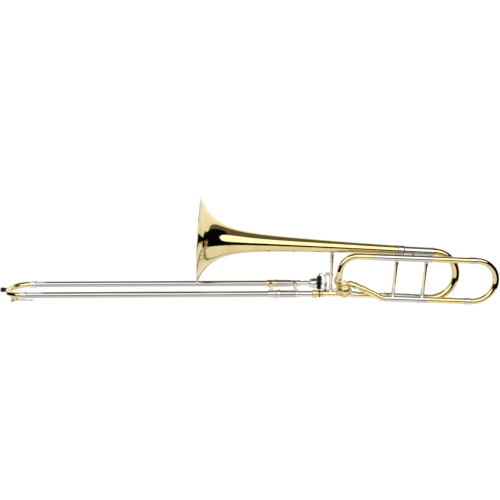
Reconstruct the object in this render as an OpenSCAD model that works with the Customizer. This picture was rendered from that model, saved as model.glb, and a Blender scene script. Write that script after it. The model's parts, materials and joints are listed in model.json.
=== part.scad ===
// Tenor trombone with an open-wrap F attachment.
// X runs along the hand slide, from the slide bow towards the tuning bows. Z is up.
// The origin is on the lower slide tube's axis, where the hand slide meets the bell section.

/* [Bell] */
// Diameter of the bell at its rim
bell_d = 216; // [190:1:230]
// Length of the bell from its rim to its tail
bell_len = 493; // [480:1:500]
// Angle between the bell section and the hand slide, in degrees
bell_tilt = 3.3; // [2.8:0.1:3.6]
// Height of the bell's axis over the neckpipe
bell_v = 126; // [122:1:130]

/* [Hand slide] */
// Distance between the axes of the two slide tubes
slide_spacing = 81; // [78:1:84]
// Length from the slide's joint to the slide bow's straight end
slide_len = 747; // [720:1:760]
// Bore of the inner slide tubes
bore = 13.9; // [13.4:0.1:13.9]
// Outer diameter of the outer slide tubes
outer_od = 15.6; // [15.6:0.1:16]
// Outer diameter of the cork barrels
barrel_od = 18.8; // [18.6:0.1:19.6]

/* [Main tuning slide] */
// Height of the lower main tube over the neckpipe
main_v = 3; // [2:0.5:4]
// Outer diameter of the main tuning bow
main_bow_od = 18.6; // [18.2:0.1:19]
// Distance from the slide's joint to the end of the tuning sleeves
sleeve_end = 278; // [270:1:284]

/* [F attachment] */
// Angle between the F tubing and the hand slide, in degrees
f_tilt = 2.5; // [2.2:0.1:2.8]
// Distance of the F tubing to the side of the bell
f_offset = 21.5; // [21.5:0.5:23]
// Outer diameter of the F tubing
f_od = 15.6; // [15.2:0.1:15.8]
// Height of the upper F tube over the neckpipe
f_top_v = 109; // [106:1:111]
// Height of the lower F tube over the neckpipe
f_low_v = 2; // [1:0.5:3]

/* [Valve and trigger] */
// Outer diameter of the valve casing
casing_od = 32.6; // [32.6:0.1:33.4]
// Distance of the valve's axis behind the slide's joint
valve_x = 67; // [65:1:69]
// Height of the valve's axis over the neckpipe
valve_z = 13.5; // [13:0.5:14]
// Radius of the crank on the rotor's stem
crank_r = 12; // [11:0.5:12]
// Length of the black finger roller
roller_len = 35; // [30:1:36]

/* [Hidden] */
$fn = 72;
eps = 0.02;
far = slide_spacing;
x_bow = -slide_len;
bow_r = slide_spacing / 2;
inner_od = bore + 0.6;
stocking_od = bore + 0.78;
outer_id = bore + 0.9;
stocking_len = 112;
inner_end = x_bow + 19;
outer_end = -92;
barrel_mouth = -103;
barrel_id = 17.6;
outer_brace_x = -114.3;
slide_bow_od = outer_od + 0.2;
bow_tip = x_bow - bow_r - outer_od / 2;
inner_brace_x = -50.6;
bell_wall = 0.8;
bell_tail = 190;
bell_steps = 44;
bead_r = 1.7;
rim_u = bell_tail - bell_len;
stem_d = 14.6;
taper_d = 50;
lip_d = 9;
tube_wall = 0.8;
main_lower_od = 18.4;
main_upper_od = 21.4;
main_bow_r = (bell_v - main_v) / 2;
main_bow_u = sleeve_end + 7;
f_bow_r = (f_top_v - f_low_v) / 2;
f_leg_u = 49.5;
f_arc_r = 41;
f_sleeve_od = 16.8;
f_top_sleeve = [129, 274];
f_low_sleeve = [168, 275];
f_bow_u = 389;
f_gap = 0.3;
joint_gap = 0.01;
ball_extra = 0.6;
brace_u = [188, 262];
brace_d = 7.6;
foot_low_h = 21;
foot_top_h = 10;
foot_sunk = 2;
casing_r = casing_od / 2;
casing_ir = casing_r - 1.5;
rotor_r = casing_ir - 0.06;
port_od = 15.6;
passage_d = 11;
passage_hub = rotor_r * sqrt(2);
stem_r = 4;
stem_fit = 0.05;
crank_y = 32;
pivot = [20.5, 0];
roller_at = [9.5, 35];
lever_reach = 33;
lever_rest = 75;
lever_top = 41;
lever_low = -3;
roller_low = 0.5;
arm_z = 17.5;
arm_d = 3;
spindle_r = 1.7;
pivot_r = 1.3;
link_pin_r = 1.5;
link_drop = 8.5;
post_x = 34.5;
post_foot_top = 21;
post_cap_low = 83;
hook_a = -45;
cup_steps = 12;
rim_x = 20;
rim_r = 16;
key_x = x_bow - 11;
key_z = -13;
key_y = 1.5;
key_cork = [x_bow - 23, 7.4];
cork_low = -16.6;

// ---- Frames and shared shapes ----

function unit(v) = v / norm(v);
function tilted(u, v, a, y = 0) = [u * cos(a) + v * sin(a), y, v * cos(a) - u * sin(a)];
function f_point(u, v) = tilted(u, v, f_tilt, -f_offset);
function valve_point(a, r) = [valve_x + r * cos(a), 0, valve_z + r * sin(a)];

module bell_frame() rotate([0, bell_tilt, 0]) children();
module f_frame() rotate([0, f_tilt, 0]) translate([0, -f_offset, 0]) children();
module at_valve() translate([valve_x, 0, valve_z]) rotate([-90, 0, 0]) children();

// Turned solid along X. The profile's points are [radius, x].
module turned(profile) rotate([0, 90, 0]) rotate_extrude() polygon(profile);

// Solid rod along X
module rod(x0, x1, d) translate([x0, 0, 0]) rotate([0, 90, 0]) cylinder(d = d, h = x1 - x0);

// Hollow tube along X
module tube(x0, x1, od, id) difference() {
    rod(x0, x1, od);
    rod(x0 - 1, x1 + 1, id);
}

// Solid rod between two points
module strut(p, q, d, d2 = 0) {
    w = q - p;
    translate(p) rotate([0, acos(w.z / norm(w)), atan2(w.y, w.x)])
        cylinder(d1 = d, d2 = d2 > 0 ? d2 : d, h = norm(w));
}

// Half turn in the XZ plane, closed towards +X: its legs start at [0, 0, 0] and [0, 0, 2 * r]
module half_bow(r, od, id) translate([0, 0, r]) rotate([90, 0, 0]) rotate([0, 0, -90])
    rotate_extrude(angle = 180) translate([r, 0]) difference() {
        circle(d = od);
        circle(d = id);
    }

// Bend of a hollow pipe at corner c, from direction a to direction b
module bend(c, a, b, r, od, id) {
    turn = acos(a * b);
    side = unit(b - a * cos(turn));
    start = c - a * r * tan(turn / 2);
    hub = start + side * r;
    z = cross(-side, a);
    multmatrix([[-side.x, a.x, z.x, hub.x], [-side.y, a.y, z.y, hub.y], [-side.z, a.z, z.z, hub.z],
            [0, 0, 0, 1]])
        rotate_extrude(angle = turn) translate([r, 0]) difference() {
            circle(d = od);
            circle(d = id);
        }
}

// Solid round path through the points p, with a slightly larger ball at each corner
module path(p, d) for (i = [0 : len(p) - 2]) {
    strut(p[i], p[i + 1], d);
    if (i > 0) translate(p[i]) sphere(d = d + ball_extra);
}

// Hollow pipe through the points p: straight lengths, and a bend of radius r[i] at each corner
function trim(p, r, i) = i == 0 || i == len(p) - 1 ? 0
    : r[i - 1] * tan(acos(unit(p[i] - p[i - 1]) * unit(p[i + 1] - p[i])) / 2) + joint_gap;
module pipe(p, r, od, wall = tube_wall) for (i = [0 : len(p) - 2]) {
    a = unit(p[i + 1] - p[i]);
    from = p[i] + a * trim(p, r, i);
    to = p[i + 1] - a * trim(p, r, i + 1);
    difference() {
        strut(from, to, od);
        strut(from - a, to + a, od - 2 * wall);
    }
    if (i < len(p) - 2) bend(p[i + 1], a, unit(p[i + 2] - p[i + 1]), r[i], od, od - 2 * wall);
}

// ---- Bell ----

// Diameter of the bell at a distance s from its rim
function bell_at(s) = stem_d + taper_d * exp(-s / 280) + lip_d * exp(-s / 4)
    + (bell_d - stem_d - taper_d - lip_d) * exp(-s / 36.5);
function bell_slope(s) = (bell_at(s + 0.01) - bell_at(s)) / 0.02;
function bell_skin(s) = bell_wall * sqrt(1 + pow(bell_slope(s), 2));
bell_s = [for (k = [0 : bell_steps]) bead_r + (bell_len - bead_r) * pow(k / bell_steps, 2.2)];

module bell() color("gold") bell_frame() translate([0, 0, bell_v]) {
    turned(concat(
        [for (s = bell_s) [bell_at(s) / 2, rim_u + s]],
        [for (k = [bell_steps : -1 : 0]) let (s = bell_s[k])
            [bell_at(s) / 2 - min(bell_skin(s), 3.2), rim_u + s]]));
    translate([rim_u + bead_r, 0, 0]) rotate([0, 90, 0]) rotate_extrude()
        translate([bell_d / 2 - bead_r, 0]) circle(r = bead_r);
}

module bell_ferrule() color("silver") bell_frame() translate([0, 0, bell_v])
    turned([[bell_at(bell_len - 6) / 2 + 0.1, 184], [12, 184], [12.7, 186], [12.7, 188.5], [12, 190],
        [12, 200], [12.7, 201.5], [12.7, 204], [12, 206], [main_upper_od / 2 + eps, 206],
        [main_upper_od / 2 + eps, 192], [bell_at(bell_len) / 2 + 0.15, 191]]);

// ---- Main tuning slide ----

module upper_tuning_sleeve() color("silver") bell_frame() translate([0, 0, bell_v]) {
    tube(192.5, sleeve_end, main_upper_od, main_upper_od - 1.2);
    tube(sleeve_end - 3, sleeve_end, main_upper_od + 1.4, main_upper_od - 0.6);
}

module lower_tuning_sleeve() color("silver") bell_frame() translate([0, 0, main_v]) {
    tube(173, sleeve_end, main_lower_od, main_lower_od - 1.2);
    tube(sleeve_end - 3, sleeve_end, main_lower_od + 1.4, main_lower_od - 0.6);
}

module main_tuning_legs() color("silver") bell_frame() {
    translate([0, 0, bell_v]) tube(206, sleeve_end + f_gap, main_upper_od - 1.3, main_upper_od - 2.4);
    translate([0, 0, main_v]) tube(182, sleeve_end + f_gap, main_lower_od - 1.3, main_lower_od - 2.4);
}

module main_bow_ferrules() color("goldenrod") bell_frame() {
    translate([0, 0, bell_v]) turned([[main_bow_od / 2 + eps, sleeve_end + f_gap],
        [main_upper_od / 2, sleeve_end + f_gap], [main_upper_od / 2 + 0.6, sleeve_end + 2],
        [main_upper_od / 2 - 0.3, main_bow_u], [main_bow_od / 2 + eps, main_bow_u]]);
    translate([0, 0, main_v]) turned([[main_bow_od / 2 + eps, sleeve_end + f_gap],
        [main_bow_od / 2 + 0.8, sleeve_end + f_gap], [main_bow_od / 2 + 1.4, sleeve_end + 2],
        [main_bow_od / 2 + 0.6, main_bow_u], [main_bow_od / 2 + eps, main_bow_u]]);
}

module main_tuning_bow() color("gold") bell_frame() {
    for (v = [bell_v, main_v]) translate([0, 0, v])
        tube(sleeve_end + f_gap, main_bow_u, main_bow_od, main_bow_od - 2 * tube_wall);
    translate([main_bow_u, 0, main_v]) half_bow(main_bow_r, main_bow_od, main_bow_od - 2 * tube_wall);
}

// ---- Pipes from the valve ----

// Where the valve's lower right port meets the lower main tube's axis
valve_u = tilted(valve_x, valve_z, -bell_tilt);
outlet_r = (valve_u.z - main_v) / (sin(45) * (cos(bell_tilt) - sin(bell_tilt)));
outlet_at = valve_point(-45, outlet_r);
outlet_pipe_end = tilted(172.6, main_v, bell_tilt);
outlet_split = outlet_at + 13 * unit(outlet_pipe_end - outlet_at);

neck_end = valve_x - valve_z;
neck_split = neck_end - 12;

supply_corner = valve_point(135, 25);
supply_path = [supply_corner, f_point(f_leg_u, 56), f_point(f_leg_u, f_top_v),
    f_point(f_top_sleeve[0] - 0.2, f_top_v)];
supply_start = supply_path[0] + 11 * unit(supply_path[1] - supply_path[0]);

return_corner = valve_point(45, 21);
return_path = [return_corner, [valve_x + 45, -f_offset, valve_z + 7], f_point(161, f_low_v),
    f_point(f_low_sleeve[0] - 0.2, f_low_v)];
return_split = return_path[0] + 17 * unit(return_path[1] - return_path[0]);

module main_outlet_pipe() color("gold") pipe([outlet_split, outlet_pipe_end], [], port_od);

module neckpipe() color("gold") tube(14.2, neck_split, port_od, bore);

module f_supply_pipe() color("gold")
    pipe(concat([supply_start], [for (i = [1 : 3]) supply_path[i]]), [22, f_arc_r], f_od);

module f_return_pipe() color("gold")
    pipe(concat([return_split], [for (i = [1 : 3]) return_path[i]]), [24, 26], f_od);

// Knuckles: short curved tubes soldered to the four ports
module knuckle(p, r) difference() {
    pipe(p, r, port_od, (port_od - bore) / 2);
    at_valve() cylinder(r = casing_r + eps, h = 60, center = true);
}
module valve_knuckles() color("gold") {
    knuckle([[neck_split + eps, 0, 0], [neck_end, 0, 0], valve_point(225, 13)], [9]);
    knuckle([outlet_split, outlet_at, valve_point(-45, 13)], [9.5]);
    knuckle([supply_start, supply_corner, valve_point(135, 13)], [12]);
    knuckle([return_split, return_corner, valve_point(45, 13)], [9.5]);
}

// Sleeves over the joints of the pipes
module ring_on(p, q, along, w, d) difference() {
    a = p + along * unit(q - p);
    b = a + w * unit(q - p);
    strut(a, b, d + 2);
    strut(a - unit(q - p), b + unit(q - p), d + 2 * eps);
}
module pipe_ferrules() color("silver") {
    ring_on(supply_start, supply_path[1], -3, 9, f_od);
    ring_on(return_split, return_path[1], -3, 7, f_od);
    ring_on(outlet_split, outlet_pipe_end, -4.6, 11, port_od);
    ring_on([14.2, 0, 0], [neck_split, 0, 0], 0.1, 1.8, port_od);
}

// ---- F tubing ----

module f_upper_sleeve() color("silver") f_frame() translate([0, 0, f_top_v]) {
    tube(f_top_sleeve[0], f_top_sleeve[1], f_sleeve_od, f_sleeve_od - 1.4);
    tube(f_top_sleeve[1] - 3, f_top_sleeve[1], f_sleeve_od + 1.2, f_sleeve_od - 0.6);
}

module f_lower_sleeve() color("silver") f_frame() translate([0, 0, f_low_v]) {
    tube(f_low_sleeve[0], f_low_sleeve[1], f_sleeve_od, f_sleeve_od - 1.4);
    tube(f_low_sleeve[1] - 3, f_low_sleeve[1], f_sleeve_od + 1.2, f_sleeve_od - 0.6);
}

module f_slide_legs() color("silver") f_frame() {
    translate([0, 0, f_top_v])
        tube(f_top_sleeve[0] + 12, f_top_sleeve[1] + f_gap, f_sleeve_od - 1.5, f_sleeve_od - 2.6);
    translate([0, 0, f_low_v])
        tube(f_low_sleeve[0] + 8, f_low_sleeve[1] + f_gap, f_sleeve_od - 1.5, f_sleeve_od - 2.6);
}

module f_bow_ferrules() color("silver") f_frame() for (v = [f_top_v, f_low_v]) translate([0, 0, v])
    turned([[f_od / 2 + eps, f_bow_u - 19], [f_od / 2 + 0.7, f_bow_u - 19],
        [f_od / 2 + 1.1, f_bow_u - 18], [f_od / 2 + 1.1, f_bow_u - 4],
        [f_od / 2 + 0.7, f_bow_u - 3], [f_od / 2 + eps, f_bow_u - 3]]);

module f_tuning_bow() color("gold") f_frame() {
    translate([0, 0, f_top_v]) tube(f_top_sleeve[1] + f_gap, f_bow_u, f_od, f_od - 2 * tube_wall);
    translate([0, 0, f_low_v]) tube(f_low_sleeve[1] + f_gap, f_bow_u, f_od, f_od - 2 * tube_wall);
    translate([f_bow_u, 0, f_low_v]) half_bow(f_bow_r, f_od, f_od - 2 * tube_wall);
}

// Two braces between the F sleeves, each a rod with a flared foot at both ends
module f_brace_rods() color("gold") f_frame() for (u = brace_u)
    translate([u, 0, f_low_v + f_sleeve_od / 2 + foot_low_h])
        cylinder(d = brace_d, h = f_top_v - f_low_v - f_sleeve_od - foot_low_h - foot_top_h);

module brace_foot(h) {
    cylinder(d1 = 13, d2 = 9, h = 4);
    cylinder(d = 9, h = h);
}
module f_brace_feet() color("silver") f_frame() for (u = brace_u) difference() {
    union() {
        translate([u, 0, f_low_v + f_sleeve_od / 2 - foot_sunk]) brace_foot(foot_low_h + foot_sunk);
        translate([u, 0, f_top_v - f_sleeve_od / 2 + foot_sunk])
            mirror([0, 0, 1]) brace_foot(foot_top_h + foot_sunk);
    }
    for (v = [f_low_v, f_top_v]) translate([0, 0, v]) rod(u - 20, u + 20, f_sleeve_od + 2 * eps);
}

// Short stays between the main sleeves and the F sleeves
module side_stay(u, v, od, f_v) difference() {
    strut(tilted(u, v, bell_tilt, 0), f_point(u, f_v), 6.4);
    bell_frame() translate([0, 0, v]) rod(u - 20, u + 20, od + 2 * eps);
    f_frame() translate([0, 0, f_v]) rod(u - 20, u + 20, f_sleeve_od + 2 * eps);
}
module side_stays() color("gold") {
    side_stay(228, bell_v, main_upper_od, f_top_v);
    side_stay(225, main_v, main_lower_od, f_low_v);
}

// ---- Neck and bell brace ----

module slide_receiver() color("gold") turned([[7.9, -7.5], [9.1, -7.5], [9.1, -0.3], [8.6, 0.4],
    [8.3, 4], [8.3, 13], [7.9, 14], [bore / 2, 14], [bore / 2, -0.8], [7.75, -0.8]]);

module bell_brace_post() color("gold") translate([post_x, 0, post_foot_top])
    cylinder(d = brace_d, h = post_cap_low - post_foot_top);

bell_s_at_post = post_x - rim_u;
module bell_brace_feet() color("silver") difference() {
    union() {
        translate([post_x, 0, port_od / 2 - foot_sunk])
            brace_foot(post_foot_top - port_od / 2 + foot_sunk);
        translate([post_x, 0, post_cap_low]) cylinder(d = 9, h = 30);
        translate([post_x, 0, 105]) cylinder(d1 = 9, d2 = 15, h = 9);
    }
    rod(post_x - 20, post_x + 20, port_od + 2 * eps);
    bell_frame() translate([0, 0, bell_v])
        rod(post_x - 30, post_x + 30, bell_at(bell_s_at_post - 14) + 2 * eps);
}

// Dark band round the neckpipe, with the lever's stop peg
module clamp_band() color("#2b2018") {
    difference() {
        union() {
            rod(4.4, 8, 18.6);
            translate([6.2, 7, 0]) rotate([-90, 0, 0]) cylinder(d = 3.2, h = 3.5);
        }
        rod(0, 12, 16.6 + 2 * eps);
    }
}

// ---- Valve ----

module valve_casing() color("gold") difference() {
    union() {
        at_valve() cylinder(r = casing_r, h = 34, center = true);
        at_valve() translate([0, 0, 13.5]) cylinder(r = casing_r + 0.9, h = 2);
    }
    at_valve() translate([0, 0, -18]) cylinder(r = casing_ir, h = 31);
    at_valve() cylinder(r = stem_r + stem_fit, h = 40);
    for (a = [45 : 90 : 315]) path([valve_point(a, 8), valve_point(a, 30)], passage_d);
}

// Rotor with two curved air passages
module rotor() color("goldenrod") difference() {
    at_valve() union() {
        translate([0, 0, -12]) cylinder(r = rotor_r, h = 24.8);
        translate([0, 0, -15.5]) cylinder(r = stem_r, h = 40.1);
    }
    for (s = [-1, 1]) at_valve() translate([0, s * passage_hub, 0])
        rotate_extrude() translate([rotor_r, 0]) circle(d = passage_d);
}

module bearing_plate() color("goldenrod") at_valve() difference() {
    translate([0, 0, -16.4]) cylinder(r = casing_ir - eps, h = 4);
    cylinder(r = stem_r + stem_fit, h = 60, center = true);
}

module valve_cap() color("gold") at_valve() difference() {
    rotate_extrude() polygon([[0, -26.6], [2.4, -26.6], [2.8, -25.2], [11.2, -24.8], [11.8, -24.2],
        [11.8, -22.9], [13, -22.9], [13.2, -24.6], [14.2, -25.2], [casing_r - 0.6, -24.6],
        [casing_r + 1, -22.8], [casing_r + 1, -10.5], [0, -10.5]]);
    translate([0, 0, -21.5]) cylinder(r = casing_r + eps, h = 20);
    for (a = [0 : 15 : 345]) rotate([0, 0, a]) translate([casing_r + 1.4, 0, -20])
        cylinder(r = 0.9, h = 6);
}

module stop_plate() color("silver") at_valve() difference() {
    union() {
        translate([0, 0, 17.1]) cylinder(r = 13.5, h = 1.8);
        for (a = [-18, 198]) rotate([0, 0, a]) translate([11, 0, 17.1]) cylinder(r = 3.6, h = 2.6);
    }
    cylinder(r = 4.6, h = 60);
}

// Rubber bumpers that stop the rotor's arm
module stop_bumpers() color("#333333") at_valve() for (a = [-18, 198])
    rotate([0, 0, a]) translate([11, 0, 19.7]) cylinder(r = 2.6, h = 4.8);

// Arm on the rotor's stem: the stop lug up, the crank with its pin down
module stop_arm() color("silver") at_valve() difference() {
    union() {
        translate([0, 0, 19.4]) cylinder(r = 6.4, h = 5.8);
        rotate([0, 0, 225]) translate([0, -2, 19.8]) cube([12, 4, 3.6]);
        rotate([0, 0, 45]) translate([0, -2.6, 25.2]) cube([crank_r, 5.2, 2.2]);
        rotate([0, 0, 45]) translate([crank_r, 0, 25.2]) cylinder(r = 2.6, h = 2.2);
        rotate([0, 0, 45]) translate([crank_r, 0, 25.2]) cylinder(r = link_pin_r, h = 11);
        rotate([0, 0, 45]) translate([crank_r, 0, 35.2]) cylinder(r = 2.4, h = 1);
        translate([0, 0, 25.2]) cylinder(r1 = 3.4, r2 = 2.6, h = 3.4);
    }
    translate([0, 0, 19]) cylinder(r = stem_r + eps, h = 5.7);
}

// Link from the crank's pin to the lever, with an open eye round the lever's pin
crank_at = [valve_x + crank_r * cos(45), crank_y, valve_z - crank_r * sin(45)];
lever_pin = [pivot.x + lever_reach * cos(lever_rest), lever_reach * sin(lever_rest)];
link_eye = [lever_pin.x, lever_pin.y, crank_at.z - link_drop];
module link_rod() color("silver") difference() {
    union() {
        translate(crank_at) rotate([90, 0, 0]) cylinder(r = 3, h = 5, center = true);
        translate(link_eye) cylinder(r = 4.8, h = 5, center = true);
        strut(crank_at - [1.8, 0, 0], link_eye + [3.6, 0, 0], 3);
    }
    translate(crank_at) rotate([90, 0, 0]) cylinder(r = 1.55, h = 20, center = true);
    translate(link_eye) cylinder(r = 3.1, h = 20, center = true);
}

// ---- Trigger ----

module pivot_rod() color("silver") translate([pivot.x, pivot.y, 11.6]) {
    cylinder(r = pivot_r, h = 42.4);
    translate([0, 0, 42.4]) sphere(r = 2.2);
}

// Foot on the neckpipe, and the bracket from the bell brace's post
module pivot_mounts() color("silver") difference() {
    union() {
        translate([pivot.x, pivot.y, 6]) cylinder(r1 = 4, r2 = 2.4, h = 6.2);
        translate([pivot.x, 0, 50]) cylinder(r = 2.9, h = 3, center = true);
        strut([pivot.x + 1, 0, 50], [post_x, 0, 50], 3.4);
        translate([post_x, 0, 46.5]) cylinder(d = 11, h = 7);
        translate([post_x - 8.5, 0, 55]) sphere(r = 3);
        strut([post_x - 8.5, 0, 50], [post_x - 8.5, 0, 55], 2.4);
        strut([post_x - 8.5, 0, 50], [post_x - 8.5, 0, 46.5], 4);
    }
    rod(0, 60, port_od + 2 * eps);
    translate([pivot.x, pivot.y, 11.5]) cylinder(r = pivot_r + eps, h = 60);
    translate([post_x, 0, 40]) cylinder(d = brace_d + 2 * eps, h = 20);
}

// Two arms, over and under the roller, and a third to the link's pin
module thumb_lever() color("silver") difference() {
    union() {
        translate([pivot.x, pivot.y, 15.4]) cylinder(r = 2.4, h = 4.2);
        translate([pivot.x, pivot.y, 29]) cylinder(r = 2.2, h = 17);
        strut([pivot.x, pivot.y, arm_z], [lever_pin.x, lever_pin.y, arm_z], arm_d);
        translate([lever_pin.x, lever_pin.y, arm_z]) sphere(r = 2.3);
        translate([lever_pin.x, lever_pin.y, link_eye.z - 8])
            cylinder(r = link_pin_r, h = arm_z - link_eye.z + 8);
        translate([lever_pin.x, lever_pin.y, link_eye.z - 9]) cylinder(r = 2.2, h = 1.6);
        path([[pivot.x, pivot.y, 43.5], [14, 22, 47], [roller_at.x, roller_at.y, lever_top]], arm_d);
        translate([roller_at.x, roller_at.y, lever_top]) sphere(r = 2.6);
        path([[pivot.x, pivot.y, arm_z], [12.2, 24.5, lever_low], [roller_at.x, roller_at.y, lever_low]],
            arm_d);
        translate([roller_at.x, roller_at.y, lever_low]) sphere(r = 2.1);
        translate([roller_at.x, roller_at.y, lever_low])
            cylinder(r = spindle_r, h = lever_top - lever_low);
    }
    translate([pivot.x, pivot.y, 0]) cylinder(r = pivot_r + 0.06, h = 60);
}

// Black spool that the thumb presses
module finger_roller() color("#141414") translate([roller_at.x, roller_at.y, roller_low])
    rotate_extrude() polygon([[spindle_r + eps, 0], [5, 0], [6, 0.8], [6.1, 3], [5.4, 8], [4.9, 14],
        [4.9, roller_len - 12], [5.6, roller_len - 7], [6.2, roller_len - 5],
        [6.2, roller_len - 1.2], [5.2, roller_len], [spindle_r + eps, roller_len]]);

// Close-wound torsion spring between the lever's two knuckles
module lever_spring() color("dimgray") for (k = [0 : 6])
    translate([pivot.x, pivot.y, 20.4 + 1.25 * k]) rotate_extrude() translate([2.7, 0])
        circle(r = 0.55);

// ---- Hand slide: the moving outer slide ----

module outer_tube_upper() color("lightgray") translate([0, far, 0])
    tube(x_bow + 8, outer_end, outer_od, outer_id);
module outer_tube_lower() color("lightgray") tube(x_bow + 8, outer_end, outer_od, outer_id);

module slide_bow() color("gold") {
    for (y = [0, far]) translate([0, y, 0]) tube(x_bow, x_bow + 8, slide_bow_od, outer_id);
    translate([x_bow, 0, 0]) rotate([-90, 0, 0]) mirror([1, 0, 0])
        half_bow(bow_r, slide_bow_od, outer_id);
}

module slide_bow_ferrules() color("silver") for (y = [0, far]) translate([0, y, 0])
    turned([[slide_bow_od / 2 + eps, x_bow + 0.5], [outer_od / 2 + 1, x_bow + 0.5],
        [outer_od / 2 + 1.4, x_bow + 1.6], [outer_od / 2 + 1.4, x_bow + 14],
        [outer_od / 2 + 0.6, x_bow + 16], [slide_bow_od / 2 + eps, x_bow + 16]]);

module bow_bumper() color("#181818") translate([0, bow_r, 0]) difference() {
    turned([[0, bow_tip - 14], [5, bow_tip - 14], [6, bow_tip - 13], [6.2, bow_tip - 8],
        [5.2, bow_tip - 5], [5.6, bow_tip + 1.5], [0, bow_tip + 1.5]]);
    translate([x_bow, 0, 0]) rotate_extrude() translate([bow_r, 0])
        circle(d = slide_bow_od + 2 * eps);
}

// Two collars and the handle rod between them
module slide_brace(x, w, tube_d, collar_d, rod_d) difference() {
    union() {
        for (y = [0, far]) translate([0, y, 0]) turned([[0, x - w / 2], [collar_d / 2 - 0.8, x - w / 2],
            [collar_d / 2, x - w / 2 + 1], [collar_d / 2, x + w / 2 - 1], [collar_d / 2 - 0.8, x + w / 2],
            [0, x + w / 2]]);
        translate([x, 0, 0]) rotate([-90, 0, 0]) {
            cylinder(d = rod_d, h = far);
            translate([0, 0, collar_d / 2 - 1]) cylinder(d1 = rod_d + 4, d2 = rod_d, h = 5);
            translate([0, 0, far - collar_d / 2 - 4]) cylinder(d1 = rod_d, d2 = rod_d + 4, h = 5);
        }
    }
    for (y = [0, far]) translate([0, y, 0]) rod(x - w, x + w, tube_d + 2 * eps);
}

module outer_brace() color("silver") difference() {
    union() {
        slide_brace(outer_brace_x, 21, outer_od, 19.4, 8.6);
        translate([-107, 0, -13]) cylinder(r = 1.2, h = 4.6);
    }
    translate([outer_brace_x, 20, 0]) rotate([-90, 0, 0]) cylinder(d = 6.4, h = far - 40);
}

// ---- Water key ----

module water_key_mount() color("gold") difference() {
    union() {
        translate([key_cork.x, key_cork.y, -12]) cylinder(r1 = 3.2, r2 = 4.6, h = 6);
        for (y = [-4.9, 4.9]) translate([key_x - 1.5, key_y + y - 1, key_z - 2]) cube([3, 2, 9]);
        translate([key_x, key_y - 6.6, key_z]) rotate([-90, 0, 0]) cylinder(r = 1, h = 13.2);
    }
    translate([x_bow, bow_r, 0]) rotate_extrude() translate([bow_r, 0])
        circle(d = slide_bow_od + 2 * eps);
    translate([key_cork.x, key_cork.y, -14]) cylinder(r = 1.8, h = 12);
}

module water_key_lever() color("silver") difference() {
    union() {
        translate([key_x, key_y - 2.2, key_z]) rotate([-90, 0, 0]) cylinder(r = 2.2, h = 4.4);
        strut([key_x, key_y, key_z], [x_bow + 30, 0, key_z - 0.5], 2.6, 2.2);
        translate([x_bow + 30, 0, key_z - 1.3]) cylinder(r = 3.6, h = 1.6);
        strut([key_x, key_y, key_z], [key_cork.x, key_cork.y, -17], 3);
        translate([key_cork.x, key_cork.y, cork_low - 2.4]) cylinder(r1 = 3.4, r2 = 4.8, h = 4);
    }
    translate([key_x, -10, key_z]) rotate([-90, 0, 0]) cylinder(r = 1.05, h = 30);
    translate([key_cork.x, key_cork.y, cork_low]) cylinder(r = 4 + eps, h = 6);
}

module water_key_cork() color("tan") translate([key_cork.x, key_cork.y, cork_low])
    cylinder(r = 4, h = 4.5);

module water_key_spring() color("dimgray") for (s = [-1, 1], k = [0 : 1])
    translate([key_x, key_y + s * (2.7 + 0.6 * k), key_z]) rotate([90, 0, 0]) rotate_extrude()
        translate([1.7, 0]) circle(r = 0.25);

// ---- Inner slide, fixed to the bell section ----

module inner_tubes() color("silver") {
    translate([0, far, 0]) tube(inner_end, -45, inner_od, bore);
    tube(inner_end, -30, inner_od, bore);
}

module slide_stockings() color("lightgray") for (y = [0, far]) translate([0, y, 0])
    tube(inner_end, inner_end + stocking_len, stocking_od, inner_od + eps);

module barrel_lower() color("silver") turned([[barrel_id / 2, barrel_mouth], [10.6, barrel_mouth],
    [10.6, -101.4], [barrel_od / 2, -101.2], [barrel_od / 2, -94.9], [11.2, -94.7], [11.2, -92.6],
    [barrel_od / 2, -92], [barrel_od / 2, -59.5], [barrel_od / 2 + 0.7, -59],
    [barrel_od / 2 + 0.7, -56.4], [inner_od / 2 + eps, -56.4], [inner_od / 2 + eps, -62],
    [barrel_id / 2, -65]]);

module barrel_upper() color("silver") translate([0, far, 0])
    turned([[barrel_id / 2, barrel_mouth], [11, barrel_mouth], [11, -97.5], [barrel_od / 2, -97],
        [barrel_od / 2, -63], [barrel_od / 2 - 1.2, -56.4], [inner_od / 2 + eps, -56.4],
        [inner_od / 2 + eps, -62], [barrel_id / 2, -65]]);

module barrel_corks() color("tan") for (y = [0, far]) translate([0, y, 0])
    tube(-91.4, -66, barrel_id - 0.4, inner_od + 0.3);

module inner_brace() color("silver") difference() {
    union() {
        turned([[0, -56], [8.6, -56], [9.3, -55], [9.3, -46], [8.6, -45], [0, -45]]);
        translate([0, far, 0])
            turned([[0, -56], [8.4, -56], [9, -55], [9, -48], [8.4, -47.2], [0, -47.2]]);
        translate([inner_brace_x, 0, 0]) rotate([-90, 0, 0]) {
            cylinder(d = 8.4, h = far);
            translate([0, 0, 8.4]) cylinder(d1 = 12, d2 = 8.4, h = 5);
            translate([0, 0, far - 13.2]) cylinder(d1 = 8.4, d2 = 12, h = 5);
        }
    }
    rod(-60, -40, 15.8 + 2 * eps);
    translate([0, far, 0]) {
        rod(-60, -40, inner_od + 2 * eps);
        rod(-47.2, -40, 16.2 + 2 * eps);
    }
    translate([inner_brace_x, 16, 0]) rotate([-90, 0, 0]) cylinder(d = 6, h = far - 32);
}

module mouthpiece_receiver() color("silver") translate([0, far, 0])
    turned([[inner_od / 2 + eps, -47], [8.1, -47], [8.1, -41.4], [9, -40.6], [9, -34.8], [8.3, -34],
        [bore / 2, -34], [bore / 2, -44.9], [inner_od / 2 + eps, -44.9]]);

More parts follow.
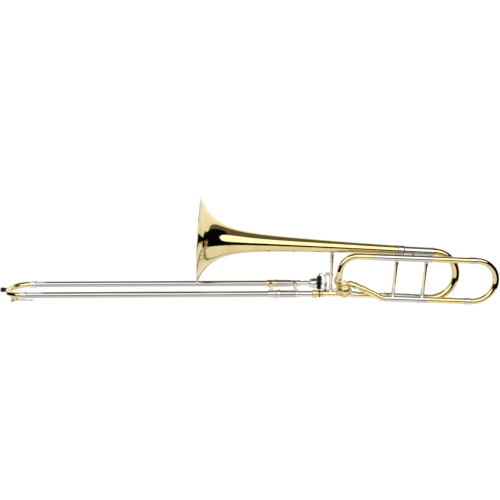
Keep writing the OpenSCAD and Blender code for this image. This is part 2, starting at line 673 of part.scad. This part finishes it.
module leadpipe() color("goldenrod") translate([0, far, 0])
    turned([[bore / 2 - 0.03, -252], [bore / 2 - 0.03, -34.4], [6.42, -34.4], [5.82, -58],
        [5.8, -63], [6.65, -252]]);

module slide_tenon() color("silver") turned([[inner_od / 2 + eps, -56], [7.9, -56], [7.9, -10.2],
    [9.3, -10.2], [9.3, -8], [7.75, -8], [7.6, -1.2], [bore / 2, -1.2], [bore / 2, -29.8],
    [inner_od / 2 + eps, -29.8]]);

module lock_nut() color("gold") difference() {
    turned([[8.1, -12.2], [10.2, -12.2], [11, -11.2], [11, -1.4], [10.2, -0.5], [9.2, -0.5], [9.2, -7.6],
        [9.5, -7.9], [9.5, -10.5], [8.1, -10.5]]);
    for (a = [0 : 15 : 345]) rotate([a, 0, 0]) translate([-10.4, 0, 11.4]) rotate([0, 90, 0])
        cylinder(r = 0.9, h = 8.2);
}

// Ring on the lower barrel. Its hook turns behind the outer brace's lug.
module slide_lock() color("silver") {
    difference() {
        union() {
            rod(-101, -95.1, 22.6);
            rotate([hook_a, 0, 0]) translate([-111.2, 9, -1.5]) cube([14, 4.2, 3]);
            rotate([hook_a, 0, 0]) translate([-111.2, 10.4, -5.4]) cube([2, 2.8, 5]);
        }
        rod(-120, -90, barrel_od + 0.1);
        rod(-120, -101, 21.6);
    }
}

// Mouthpiece: tapered shank, cup and rounded rim
module mouthpiece() color("silver") translate([0, far, 0]) turned(concat(
    [[5.79, -57.5], [6.38, -34.4], [7, -13]],
    [for (t = [1 : cup_steps]) let (w = t / cup_steps)
        [7 + 8 * sqrt(1 - pow(1 - w, 2)), -13 + 25 * w]],
    [[16.2, 14.6], [18.4, 16.6]],
    [for (a = [-20 : 20 : 180]) [rim_r + 3.1 * cos(a), rim_x + 3.1 * sin(a)]],
    [for (t = [0 : cup_steps]) let (w = t / cup_steps)
        [3.3 + 9.5 * sqrt(1 - pow(w, 2)), 19 - 22 * w]],
    [[3.3, -6], [5.15, -57.5]]));

bell();
bell_ferrule();
upper_tuning_sleeve();
lower_tuning_sleeve();
main_outlet_pipe();
main_tuning_bow();
main_bow_ferrules();
main_tuning_legs();
f_supply_pipe();
f_return_pipe();
f_upper_sleeve();
f_lower_sleeve();
f_brace_rods();
f_brace_feet();
side_stays();
f_slide_legs();
f_bow_ferrules();
f_tuning_bow();
slide_receiver();
neckpipe();
bell_brace_post();
bell_brace_feet();
clamp_band();
valve_casing();
valve_knuckles();
pipe_ferrules();
rotor();
bearing_plate();
valve_cap();
stop_plate();
stop_bumpers();
stop_arm();
link_rod();
pivot_rod();
pivot_mounts();
thumb_lever();
finger_roller();
lever_spring();
outer_tube_upper();
outer_tube_lower();
slide_bow();
slide_bow_ferrules();
bow_bumper();
outer_brace();
water_key_mount();
water_key_lever();
water_key_cork();
water_key_spring();
inner_tubes();
slide_stockings();
barrel_upper();
barrel_lower();
barrel_corks();
inner_brace();
mouthpiece_receiver();
leadpipe();
slide_tenon();
lock_nut();
slide_lock();
mouthpiece();
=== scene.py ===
"""Tenor trombone with an F attachment: materials, fine pieces, studio and camera round the CAD frame."""

import json
import math

import bmesh
import bpy
from mathutils import Matrix, Vector

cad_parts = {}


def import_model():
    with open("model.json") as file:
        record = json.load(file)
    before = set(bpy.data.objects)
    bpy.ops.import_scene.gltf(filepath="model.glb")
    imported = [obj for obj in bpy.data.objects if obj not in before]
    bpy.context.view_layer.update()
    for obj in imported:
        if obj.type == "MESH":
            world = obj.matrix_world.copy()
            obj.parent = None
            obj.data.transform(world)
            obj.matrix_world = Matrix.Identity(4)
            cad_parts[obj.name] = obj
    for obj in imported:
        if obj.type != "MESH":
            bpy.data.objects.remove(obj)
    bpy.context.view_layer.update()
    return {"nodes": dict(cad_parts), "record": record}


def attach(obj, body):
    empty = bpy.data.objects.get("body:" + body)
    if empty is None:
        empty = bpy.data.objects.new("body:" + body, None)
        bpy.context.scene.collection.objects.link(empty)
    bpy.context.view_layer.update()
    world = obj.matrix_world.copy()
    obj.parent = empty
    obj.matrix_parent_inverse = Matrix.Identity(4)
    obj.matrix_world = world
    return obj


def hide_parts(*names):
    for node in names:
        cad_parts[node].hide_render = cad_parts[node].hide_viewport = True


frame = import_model()
NODES = frame["nodes"]


# ---- Node helpers ----

def new_material(name):
    """Returns (material, tree, shader) of a material that holds only its shader and output"""
    mat = bpy.data.materials.new(name)
    mat.use_nodes = True
    tree = mat.node_tree
    shader = tree.nodes["Principled BSDF"]
    return mat, tree, shader


def place(tree, scale=(1, 1, 1)):
    """The row frame's coordinates in metres, stretched by scale"""
    coords = tree.nodes.new("ShaderNodeTexCoord")
    mapping = tree.nodes.new("ShaderNodeMapping")
    mapping.inputs["Scale"].default_value = scale
    tree.links.new(coords.outputs["Object"], mapping.inputs["Vector"])
    return mapping.outputs["Vector"]


def noise(tree, where, scale, detail, rough=0.5):
    node = tree.nodes.new("ShaderNodeTexNoise")
    node.inputs["Scale"].default_value = scale
    node.inputs["Detail"].default_value = detail
    node.inputs["Roughness"].default_value = rough
    tree.links.new(where, node.inputs["Vector"])
    return node.outputs["Fac"]


def cells(tree, where, scale):
    node = tree.nodes.new("ShaderNodeTexVoronoi")
    node.inputs["Scale"].default_value = scale
    tree.links.new(where, node.inputs["Vector"])
    return node.outputs["Distance"]


def spread(tree, value, low, high, start=0.35, end=0.65):
    """value from start to end becomes low to high"""
    node = tree.nodes.new("ShaderNodeMapRange")
    node.inputs["From Min"].default_value = start
    node.inputs["From Max"].default_value = end
    node.inputs["To Min"].default_value = low
    node.inputs["To Max"].default_value = high
    tree.links.new(value, node.inputs["Value"])
    return node.outputs["Result"]


def blend_colours(tree, fac, a, b):
    """Colour a where fac is 0, b where it is 1"""
    node = tree.nodes.new("ShaderNodeMix")
    node.data_type = "RGBA"
    tree.links.new(fac, node.inputs[0])
    for socket, colour in ((node.inputs[6], a), (node.inputs[7], b)):
        if isinstance(colour, tuple):
            socket.default_value = (*colour, 1.0)
        else:
            tree.links.new(colour, socket)
    return node.outputs[2]


def add(tree, a, b):
    node = tree.nodes.new("ShaderNodeMath")
    for socket, value in zip(node.inputs, (a, b)):
        if isinstance(value, (int, float)):
            socket.default_value = value
        else:
            tree.links.new(value, socket)
    return node.outputs["Value"]


def bump(tree, shader, height, distance, strength):
    node = tree.nodes.new("ShaderNodeBump")
    node.inputs["Strength"].default_value = strength
    node.inputs["Distance"].default_value = distance
    tree.links.new(height, node.inputs["Height"])
    tree.links.new(node.outputs["Normal"], shader.inputs["Normal"])


def edges(tree):
    """1 along sharp outer edges, 0 elsewhere"""
    geometry = tree.nodes.new("ShaderNodeNewGeometry")
    return spread(tree, geometry.outputs["Pointiness"], 0.0, 1.0, 0.52, 0.62)


# ---- Materials ----

def polished_metal(name, light, dark, rough, grain=(60, 900, 900), lacquer=0.0):
    """Buffed metal: cloudy colour and gloss, and hairlines along the tubing"""
    mat, tree, shader = new_material(name)
    shader.inputs["Metallic"].default_value = 1.0
    clouds = noise(tree, place(tree), 22.0, 4.0)
    hairs = noise(tree, place(tree, grain), 1.0, 2.0)
    colour = blend_colours(tree, spread(tree, clouds, 0.0, 1.0), light, dark)
    worn = tuple(min(1.0, c * 1.08) for c in light)
    colour = blend_colours(tree, edges(tree), colour, worn)
    tree.links.new(colour, shader.inputs["Base Color"])
    gloss = add(tree, spread(tree, clouds, rough[0], rough[1]), spread(tree, hairs, 0.0, 0.02))
    tree.links.new(gloss, shader.inputs["Roughness"])
    shader.inputs["Coat Weight"].default_value = lacquer
    shader.inputs["Coat Roughness"].default_value = 0.03
    bump(tree, shader, hairs, 0.00002, 0.12)
    return mat


def lacquered_brass():
    return polished_metal("lacquered_brass", (0.70, 0.585, 0.295), (0.64, 0.515, 0.235), (0.05, 0.09),
                          lacquer=0.2)


def red_brass():
    return polished_metal("red_brass", (0.78, 0.60, 0.33), (0.72, 0.53, 0.27), (0.06, 0.12), lacquer=0.2)


def nickel_silver():
    return polished_metal("nickel_silver", (0.60, 0.575, 0.54), (0.52, 0.495, 0.46), (0.05, 0.10))


def chrome_plate():
    return polished_metal("chrome_plate", (0.42, 0.415, 0.395), (0.38, 0.375, 0.355), (0.03, 0.06),
                          grain=(25, 1400, 1400))


def barrel_nickel():
    return polished_metal("barrel_nickel", (0.49, 0.455, 0.43), (0.42, 0.385, 0.36), (0.06, 0.12))


def silver_plate():
    return polished_metal("silver_plate", (0.64, 0.64, 0.63), (0.56, 0.56, 0.55), (0.03, 0.07))


def spring_steel():
    return polished_metal("spring_steel", (0.42, 0.42, 0.43), (0.34, 0.34, 0.36), (0.18, 0.32),
                          grain=(900, 900, 900))


def black_rubber():
    mat, tree, shader = new_material("black_rubber")
    grit = noise(tree, place(tree), 900.0, 3.0)
    dust = noise(tree, place(tree), 90.0, 4.0)
    colour = blend_colours(tree, spread(tree, dust, 0.0, 1.0, 0.45, 0.75), (0.006, 0.006, 0.006),
                           (0.016, 0.016, 0.015))
    colour = blend_colours(tree, edges(tree), colour, (0.03, 0.03, 0.029))
    tree.links.new(colour, shader.inputs["Base Color"])
    tree.links.new(spread(tree, dust, 0.55, 0.8), shader.inputs["Roughness"])
    shader.inputs["Specular IOR Level"].default_value = 0.15
    bump(tree, shader, grit, 0.0001, 0.4)
    return mat


def black_resin():
    mat, tree, shader = new_material("black_resin")
    wear = noise(tree, place(tree, (1, 1, 0.25)), 160.0, 4.0)
    colour = blend_colours(tree, spread(tree, wear, 0.0, 1.0), (0.002, 0.002, 0.002),
                           (0.006, 0.006, 0.006))
    tree.links.new(colour, shader.inputs["Base Color"])
    tree.links.new(spread(tree, wear, 0.16, 0.26), shader.inputs["Roughness"])
    shader.inputs["Specular IOR Level"].default_value = 0.12
    bump(tree, shader, wear, 0.0001, 0.15)
    return mat


def dark_leather():
    mat, tree, shader = new_material("dark_leather")
    pores = cells(tree, place(tree), 1400.0)
    stain = noise(tree, place(tree), 120.0, 4.0)
    colour = blend_colours(tree, spread(tree, stain, 0.0, 1.0), (0.045, 0.022, 0.014),
                           (0.085, 0.045, 0.028))
    tree.links.new(colour, shader.inputs["Base Color"])
    tree.links.new(spread(tree, stain, 0.45, 0.7), shader.inputs["Roughness"])
    bump(tree, shader, pores, 0.0002, 0.5)
    return mat


def cork():
    mat, tree, shader = new_material("cork")
    grains = cells(tree, place(tree), 900.0)
    flecks = noise(tree, place(tree), 500.0, 5.0, 0.7)
    colour = blend_colours(tree, spread(tree, grains, 0.0, 1.0, 0.1, 0.7), (0.42, 0.27, 0.14),
                           (0.60, 0.42, 0.25))
    colour = blend_colours(tree, spread(tree, flecks, 1.0, 0.0, 0.3, 0.4), colour, (0.14, 0.08, 0.04))
    tree.links.new(colour, shader.inputs["Base Color"])
    shader.inputs["Roughness"].default_value = 0.85
    bump(tree, shader, flecks, 0.0003, 0.5)
    return mat


def pale_floor():
    mat, tree, shader = new_material("pale_floor")
    mottle = noise(tree, place(tree), 3.0, 4.0)
    colour = blend_colours(tree, spread(tree, mottle, 0.0, 1.0), (0.87, 0.87, 0.87),
                           (0.85, 0.85, 0.845))
    tree.links.new(colour, shader.inputs["Base Color"])
    shader.inputs["Roughness"].default_value = 0.9
    shader.inputs["Specular IOR Level"].default_value = 0.1
    return mat


FINISHES = {
    "lacquered_brass": lacquered_brass, "red_brass": red_brass, "nickel_silver": nickel_silver,
    "chrome_plate": chrome_plate, "barrel_nickel": barrel_nickel, "silver_plate": silver_plate,
    "black_rubber": black_rubber, "black_resin": black_resin, "dark_leather": dark_leather,
    "cork": cork, "spring_steel": spring_steel,
}
MATERIALS = {slot: make() for slot, make in FINISHES.items()}
SLOT_OF = {row["node"]: row["material_slot"] for row in frame["record"]["subparts"]}


def finish_node(name):
    """The CAD node's slots take the material that the record names for it"""
    node = NODES[name]
    mat = MATERIALS[SLOT_OF[name]]
    if not node.material_slots:
        node.data.materials.append(mat)
    for slot in node.material_slots:
        slot.material = mat


for node_name in NODES:
    finish_node(node_name)


# ---- Fine pieces ----

MM = 0.001
BELL_TILT = math.radians(3.3)
F_TILT = math.radians(2.5)
BELL_AXIS = 126.0
MAIN_AXIS = 3.0
F_TOP_AXIS, F_LOW_AXIS = 109.0, 2.0
F_SIDE = -21.5
SLIDE_SPACING = 81.0
PIVOT = Vector((20.5, 0.0, 0.0))
ROLLER = Vector((9.5, 35.0, 0.5))
VALVE = Vector((67.0, 0.0, 13.5))
KEY_HINGE = Vector((-758.0, 1.5, -13.0))
KEY_CORK = Vector((-770.0, 7.4, 0.0))
UPPER_COLLAR = Vector((-114.3, SLIDE_SPACING, 0.0))
BARREL_LINES = (("a", -66.5, 0.0), ("b", -88.0, 0.0), ("c", -68.0, SLIDE_SPACING),
                ("d", -92.0, SLIDE_SPACING))
BARREL_R, BARREL_WIRE = 9.35, 0.22
UPPER_SLEEVE_R, LOWER_SLEEVE_R, F_SLEEVE_R, SLEEVE_WIRE = 10.65, 9.15, 8.35, 0.25
RING_STEPS, RING_SIDES = 72, 8


def tilted(u, v, tilt, y=0.0):
    """A point of a tilted frame, in the row frame's millimetres"""
    return Vector((u * math.cos(tilt) + v * math.sin(tilt), y, v * math.cos(tilt) - u * math.sin(tilt)))


def around(steps):
    """The angles of one full turn"""
    return [2 * math.pi * k / steps for k in range(steps)]


def ring_faces(i, j, sides):
    """Quads between ring i and ring j, each of so many sides"""
    return [(i * sides + k, i * sides + (k + 1) % sides, j * sides + (k + 1) % sides, j * sides + k)
            for k in range(sides)]


def mesh_piece(name, verts, faces, mat, body):
    """A closed mesh given in millimetres that rides on body"""
    mesh = bpy.data.meshes.new(name)
    mesh.from_pydata([tuple(Vector(v) * MM) for v in verts], [], faces)
    build = bmesh.new()
    build.from_mesh(mesh)
    bmesh.ops.remove_doubles(build, verts=build.verts, dist=1e-7)
    bmesh.ops.recalc_face_normals(build, faces=build.faces)
    build.to_mesh(mesh)
    build.free()
    mesh.polygons.foreach_set("use_smooth", [True] * len(mesh.polygons))
    mesh.materials.append(mat)
    obj = bpy.data.objects.new(name, mesh)
    bpy.context.scene.collection.objects.link(obj)
    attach(obj, body)
    return obj


def sweep(name, points, radius, mat, body, sides=12, closed=False):
    """A round wire of constant thickness through points"""
    count = len(points)
    points = [Vector(p) for p in points]
    verts, faces = [], []
    normal = None
    for i, p in enumerate(points):
        ahead = points[(i + 1) % count] if closed or i < count - 1 else p
        behind = points[i - 1] if closed or i > 0 else p
        axis = (ahead - behind).normalized()
        if normal is None:
            normal = axis.orthogonal().normalized()
        normal = (normal - axis * normal.dot(axis)).normalized()
        side = axis.cross(normal)
        for a in around(sides):
            verts.append(p + radius * (math.cos(a) * normal + math.sin(a) * side))
    spans = count if closed else count - 1
    for i in range(spans):
        faces += ring_faces(i, (i + 1) % count, sides)
    if not closed:
        faces.append(tuple(range(sides)))
        faces.append(tuple((count - 1) * sides + k for k in range(sides)))
    return mesh_piece(name, verts, faces, mat, body)


def lathe(name, profile, at, axis, mat, body, sides=64):
    """A closed profile of (radius, distance along axis) pairs, turned round the axis through at"""
    axis = Vector(axis).normalized()
    one = axis.orthogonal().normalized()
    two = axis.cross(one)
    at = Vector(at)
    verts, faces = [], []
    for r, d in profile:
        for a in around(sides):
            verts.append(at + axis * d + r * (math.cos(a) * one + math.sin(a) * two))
    count = len(profile)
    for i in range(count):
        j = (i + 1) % count
        if profile[i][0] == 0 and profile[j][0] == 0:
            continue
        faces += ring_faces(i, j, sides)
    return mesh_piece(name, verts, faces, mat, body)


# ---- Bell ----

BELL_D, BELL_LEN, BELL_TAIL = 216.0, 493.0, 190.0
STEM_D, TAPER_D, LIP_D = 14.6, 50.0, 9.0
BEAD = 1.7


def bell_radius(s):
    return 0.5 * (STEM_D + TAPER_D * math.exp(-s / 280) + LIP_D * math.exp(-s / 4)
                  + (BELL_D - STEM_D - TAPER_D - LIP_D) * math.exp(-s / 36.5))


def fine_bell():
    """The bell's flare turned in fine steps, with its rolled rim"""
    steps, wall, thickest = 150, 0.8, 3.2
    rim = BELL_TAIL - BELL_LEN
    at = [BEAD + (BELL_LEN - BEAD) * (k / steps) ** 2.0 for k in range(steps + 1)]
    slope = [(bell_radius(s + 0.01) - bell_radius(s)) / 0.01 for s in at]
    skin = [min(wall * math.sqrt(1 + g * g), thickest) for g in slope]
    outer = [(bell_radius(s), rim + s) for s in at]
    inner = [(bell_radius(s) - t, rim + s) for s, t in zip(at, skin)]
    bead = [(BELL_D / 2 - BEAD - BEAD * math.cos(a), rim + BEAD - BEAD * math.sin(a))
            for a in [math.pi * k / 12 for k in range(13)]]
    profile = outer + inner[::-1] + bead[1:]
    axis = tilted(1, 0, BELL_TILT)
    piece = lathe("bell_fine", profile, tilted(0, BELL_AXIS, BELL_TILT), axis,
                  MATERIALS["lacquered_brass"], "bell_section", sides=192)
    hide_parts("bell")


# ---- Springs ----

def coil(at, axis, radius, pitch, turns, per_turn=28):
    """Points of a helix round axis, starting at point at"""
    axis = Vector(axis).normalized()
    one = axis.orthogonal().normalized()
    two = axis.cross(one)
    return [Vector(at) + axis * pitch * k / per_turn
            + radius * (math.cos(2 * math.pi * k / per_turn) * one
                        + math.sin(2 * math.pi * k / per_turn) * two)
            for k in range(int(turns * per_turn) + 1)]


def fine_springs():
    """Helical torsion springs of the trigger and the water key"""
    start = PIVOT + Vector((0, 0, 20.4))
    spring = sweep("lever_spring_fine", coil(start, (0, 0, 1), 2.7, 1.25, 6.2), 0.5,
                   MATERIALS["spring_steel"], "bell_section")
    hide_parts("lever_spring")
    for side, letter in ((-1, "a"), (1, "b")):
        start = KEY_HINGE + Vector((0, side * 2.6, 0))
        wire = sweep("key_spring_" + letter, coil(start, (0, side, 0), 1.7, 0.55, 1.9), 0.22,
                     MATERIALS["spring_steel"], "hand_slide")
        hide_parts("water_key_spring")


# ---- Small fittings ----

def fine_roller():
    """Waisted black spool, turned in one smooth curve"""
    length, bore, steps = 35.0, 1.72, 48
    outer = []
    for k in range(steps + 1):
        t = k / steps
        waist = 4.9 + 1.25 * abs(2 * t - 1) ** 2.2
        round_off = 1.2 * max(0.0, 1 - min(t, 1 - t) * length / 1.6) ** 2
        outer.append((waist - round_off, t * length))
    profile = [(bore, 0.0)] + outer + [(bore, length)]
    piece = lathe("roller_fine", profile, ROLLER, (0, 0, 1), MATERIALS["black_resin"],
                  "thumb_lever", sides=72)
    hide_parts("finger_roller")


def key_details():
    """Dark worn cap under the water key's cork, and a steel wire along its arm"""
    under = [(0.0, -20.4), (2.2, -20.2), (3.8, -19.6), (4.9, -18.2), (5.1, -16.9), (4.86, -16.9),
             (3.4, -19.05), (0.0, -19.05)]
    cup = lathe("key_cup", under, KEY_CORK, (0, 0, 1), MATERIALS["spring_steel"], "water_key")
    reach = Vector((41.0, -1.5, -0.5))
    arm = sweep("key_arm", [KEY_HINGE + reach * k / 12 for k in range(13)], 1.42,
                MATERIALS["spring_steel"], "water_key")


def upper_collar_painted_reflection():
    """Thin lacquered brass sleeve over the outer brace's upper collar, a painted reflection: the gold the
    nickel collar shows comes from brass it reflects
    """
    outer = [(9.72, -10.4), (9.95, -9.4), (9.95, -7.0), (9.8, -6.6), (9.8, 6.6), (9.95, 7.0), (9.95, 9.4),
             (9.72, 10.4)]
    profile = outer + [(9.6, 10.4), (9.6, -10.4)]
    # painted reflection: brass colour on the nickel collar stands in for the brass it reflects
    piece = lathe("collar_painted_reflection", profile, UPPER_COLLAR, (1, 0, 0), MATERIALS["lacquered_brass"],
                  "hand_slide", sides=72)


def cap_dome():
    """Slightly domed disc of redder brass inside the valve cap's outer ring, with a turned groove"""
    top, sag, rim, seat, groove = 27.6, 2.6, 11.6, 24.0, 0.35
    dome = [(r, top - sag * (r / rim) ** 2 - (groove if 7.2 < r < 8.0 else 0.0))
            for r in (0.0, 1.0, 2.0, 3.0, 4.0, 5.0, 6.0, 7.1, 7.3, 7.9, 8.1, 9.0, 10.0, 11.0, rim)]
    profile = dome + [(rim, seat), (0.0, seat)]
    piece = lathe("cap_dome", profile, VALVE, (0, -1, 0), MATERIALS["red_brass"], "bell_section")


def barrel_rings():
    """Fine raised lines turned round the cork barrels"""
    for letter, x, y in BARREL_LINES:
        ring = [(x, y + BARREL_R * math.cos(a), BARREL_R * math.sin(a)) for a in around(RING_STEPS)]
        piece = sweep("barrel_line_" + letter, ring, BARREL_WIRE, MATERIALS["barrel_nickel"],
                      "bell_section", sides=RING_SIDES, closed=True)


def sleeve_lines(prefix, ends, v, tilt, y, radius):
    """A fine raised line at each end of a tilted sleeve, v above its frame's own axis"""
    up = tilted(0, 1, tilt)
    for letter, u in zip("ab", ends):
        centre = tilted(u, v, tilt, y)
        ring = [centre + radius * (math.cos(a) * up + math.sin(a) * Vector((0, 1, 0)))
                for a in around(RING_STEPS)]
        piece = sweep(prefix + "_" + letter, ring, SLEEVE_WIRE, MATERIALS["nickel_silver"],
                      "bell_section", sides=RING_SIDES, closed=True)


fine_bell()
fine_springs()
fine_roller()
upper_collar_painted_reflection()
key_details()
cap_dome()
barrel_rings()
sleeve_lines("upper_sleeve_line", (270, 196), BELL_AXIS, BELL_TILT, 0.0, UPPER_SLEEVE_R)
sleeve_lines("lower_sleeve_line", (270, 177), MAIN_AXIS, BELL_TILT, 0.0, LOWER_SLEEVE_R)
sleeve_lines("f_top_line", (266, 134), F_TOP_AXIS, F_TILT, F_SIDE, F_SLEEVE_R)
sleeve_lines("f_low_line", (267, 173), F_LOW_AXIS, F_TILT, F_SIDE, F_SLEEVE_R)


# ---- Studio ----

CENTRE = Vector((-0.2, 0.0, 0.06))
FLOOR_Z = -0.32
FLOOR_RADIUS = 40.0
TENT_R = 2.2
TENT_LOW, BOX_TOP, FLAG_TOP = 9, 60, 54
WHITE, WARM = (1.0, 1.0, 1.0), (1.0, 0.88, 0.55)


def stage_mesh(name, verts, faces, mat):
    mesh = bpy.data.meshes.new(name)
    mesh.from_pydata(verts, [], faces)
    mesh.materials.append(mat)
    obj = bpy.data.objects.new(name, mesh)
    bpy.context.scene.collection.objects.link(obj)
    return obj


def reflected(name, verts, faces, strength, colour=WHITE):
    """A glowing sheet that shows in the metal and nowhere else"""
    obj = stage_mesh(name, verts, faces, glow(name, strength, colour))
    obj.visible_camera = False
    obj.visible_diffuse = False
    obj.visible_transmission = False
    obj.visible_volume_scatter = False
    obj.visible_shadow = False


def floor():
    ring = [(FLOOR_RADIUS * math.cos(a), FLOOR_RADIUS * math.sin(a), FLOOR_Z) for a in around(96)]
    stage_mesh("floor", ring, [tuple(range(len(ring)))], pale_floor())


def glow(name, strength, colour):
    mat = bpy.data.materials.new(name)
    mat.use_nodes = True
    tree = mat.node_tree
    tree.nodes.clear()
    light = tree.nodes.new("ShaderNodeEmission")
    light.inputs["Color"].default_value = (*colour, 1.0)
    light.inputs["Strength"].default_value = strength
    out = tree.nodes.new("ShaderNodeOutputMaterial")
    tree.links.new(light.outputs["Emission"], out.inputs["Surface"])
    return mat


def tent_point(azimuth, elevation, radius=TENT_R):
    """Azimuth 0 is the camera's side. An elevation over 90 degrees comes down at the back."""
    a, e = math.radians(azimuth), math.radians(elevation)
    return CENTRE + radius * Vector((math.sin(a) * math.cos(e), -math.cos(a) * math.cos(e),
                                     math.sin(e)))


def strip_faces(steps):
    """Quads of a strip whose points come in pairs"""
    return [(2 * k, 2 * k + 1, 2 * k + 3, 2 * k + 2) for k in range(steps)]


def tent_panel(name, azimuths, elevations, strength, steps=24):
    """A curved panel of the light tent, between two azimuths and two elevations"""
    verts = [tuple(tent_point(azimuths[0] + (azimuths[1] - azimuths[0]) * i / steps,
                              elevations[0] + (elevations[1] - elevations[0]) * j / steps))
             for i in range(steps + 1) for j in range(steps + 1)]
    faces = [(i * (steps + 1) + j, (i + 1) * (steps + 1) + j, (i + 1) * (steps + 1) + j + 1,
              i * (steps + 1) + j + 1) for i in range(steps) for j in range(steps)]
    reflected(name, verts, faces, strength)


def dark_floor_strip():
    """Black strip just over the floor in front, from the tent's foot inwards"""
    steps = 32
    verts = []
    for k in range(steps + 1):
        a = math.radians(-110 + 220 * k / steps)
        for reach in (1.25, TENT_R):
            verts.append((CENTRE.x + reach * math.sin(a), CENTRE.y - reach * math.cos(a),
                          FLOOR_Z + 0.02))
    reflected("floor_flag", verts, strip_faces(steps), 0.0)


def top_canopy():
    """Dim ceiling that runs along the instrument and comes down behind it"""
    steps = 32
    verts = []
    for k in range(steps + 1):
        a = math.radians(60 + 75 * k / steps)
        for x in (-1.2, 6.0):
            verts.append((CENTRE.x + x, CENTRE.y - TENT_R * math.cos(a),
                          CENTRE.z + TENT_R * math.sin(a)))
    reflected("canopy", verts, strip_faces(steps), 0.16, WARM)


def soft_box():
    """Bright front panel with rounded ends, in front of a black one"""
    half, strength, steps = 66, 2.0, 48
    middle, tall = (TENT_LOW + BOX_TOP) / 2, (BOX_TOP - TENT_LOW) / 2
    round_from = half - tall * 1.1
    verts = []
    for i in range(steps + 1):
        azimuth = half * math.sin(math.pi * (i / steps - 0.5))
        past = max(0.0, abs(azimuth) - round_from) / (half - round_from)
        reach = tall * math.sqrt(max(0.0, 1 - past * past))
        verts += [tuple(tent_point(azimuth, middle - reach, TENT_R - 0.02)),
                  tuple(tent_point(azimuth, middle + reach, TENT_R - 0.02))]
    reflected("soft_box", verts, strip_faces(steps), strength)


def light_tent():
    """A soft box in a black frame, with a black band under it and a dim top, all before white"""
    soft_box()
    tent_panel("box_frame", (-68, 68), (TENT_LOW, BOX_TOP), 0.0)
    tent_panel("front_flag", (-108, 110), (-12, TENT_LOW), 0.0)
    dark_floor_strip()
    top_canopy()
    tent_panel("right_flag", (68, 104), (TENT_LOW, FLAG_TOP), 0.0)
    tent_panel("left_flag", (-104, -68), (TENT_LOW, FLAG_TOP), 0.0)


def world():
    scene = bpy.context.scene
    scene.world = bpy.data.worlds.new("studio")
    scene.world.use_nodes = True
    back = scene.world.node_tree.nodes["Background"]
    back.inputs["Color"].default_value = (1.0, 1.0, 1.0, 1.0)
    back.inputs["Strength"].default_value = 1.22


def key_light():
    data = bpy.data.lights.new("key", "AREA")
    data.size = 1.6
    data.energy = 12.0
    obj = bpy.data.objects.new("key", data)
    obj.location = CENTRE + Vector((-0.5, -1.6, 1.9))
    obj.rotation_mode = "QUATERNION"
    obj.rotation_quaternion = (CENTRE - obj.location).to_track_quat("-Z", "Y")
    obj.visible_glossy = False
    bpy.context.scene.collection.objects.link(obj)


# ---- Camera ----

CAMERA_AT = Vector((-0.2020, -1.4592, 0.5439))
YAW, PITCH, ROLL = math.radians(1.26), math.radians(16.34), math.radians(0.14)
SENSOR = 36.0
FOCAL = 44.19


def camera():
    data = bpy.data.cameras.new("camera")
    data.sensor_width = SENSOR
    data.lens = FOCAL
    data.clip_start, data.clip_end = 0.01, 200.0
    obj = bpy.data.objects.new("camera", data)
    ahead = Vector((math.sin(YAW) * math.cos(PITCH), math.cos(YAW) * math.cos(PITCH), -math.sin(PITCH)))
    right = Vector((math.cos(YAW), -math.sin(YAW), 0.0))
    up = right.cross(ahead)
    right, up = (right * math.cos(ROLL) + up * math.sin(ROLL),
                 up * math.cos(ROLL) - right * math.sin(ROLL))
    turn = Matrix((right, up, -ahead)).transposed()
    obj.matrix_world = Matrix.Translation(CAMERA_AT) @ turn.to_4x4()
    bpy.context.scene.collection.objects.link(obj)
    bpy.context.scene.camera = obj


world()
floor()
light_tent()
key_light()
camera()
bpy.context.scene.view_settings.view_transform = "Standard"
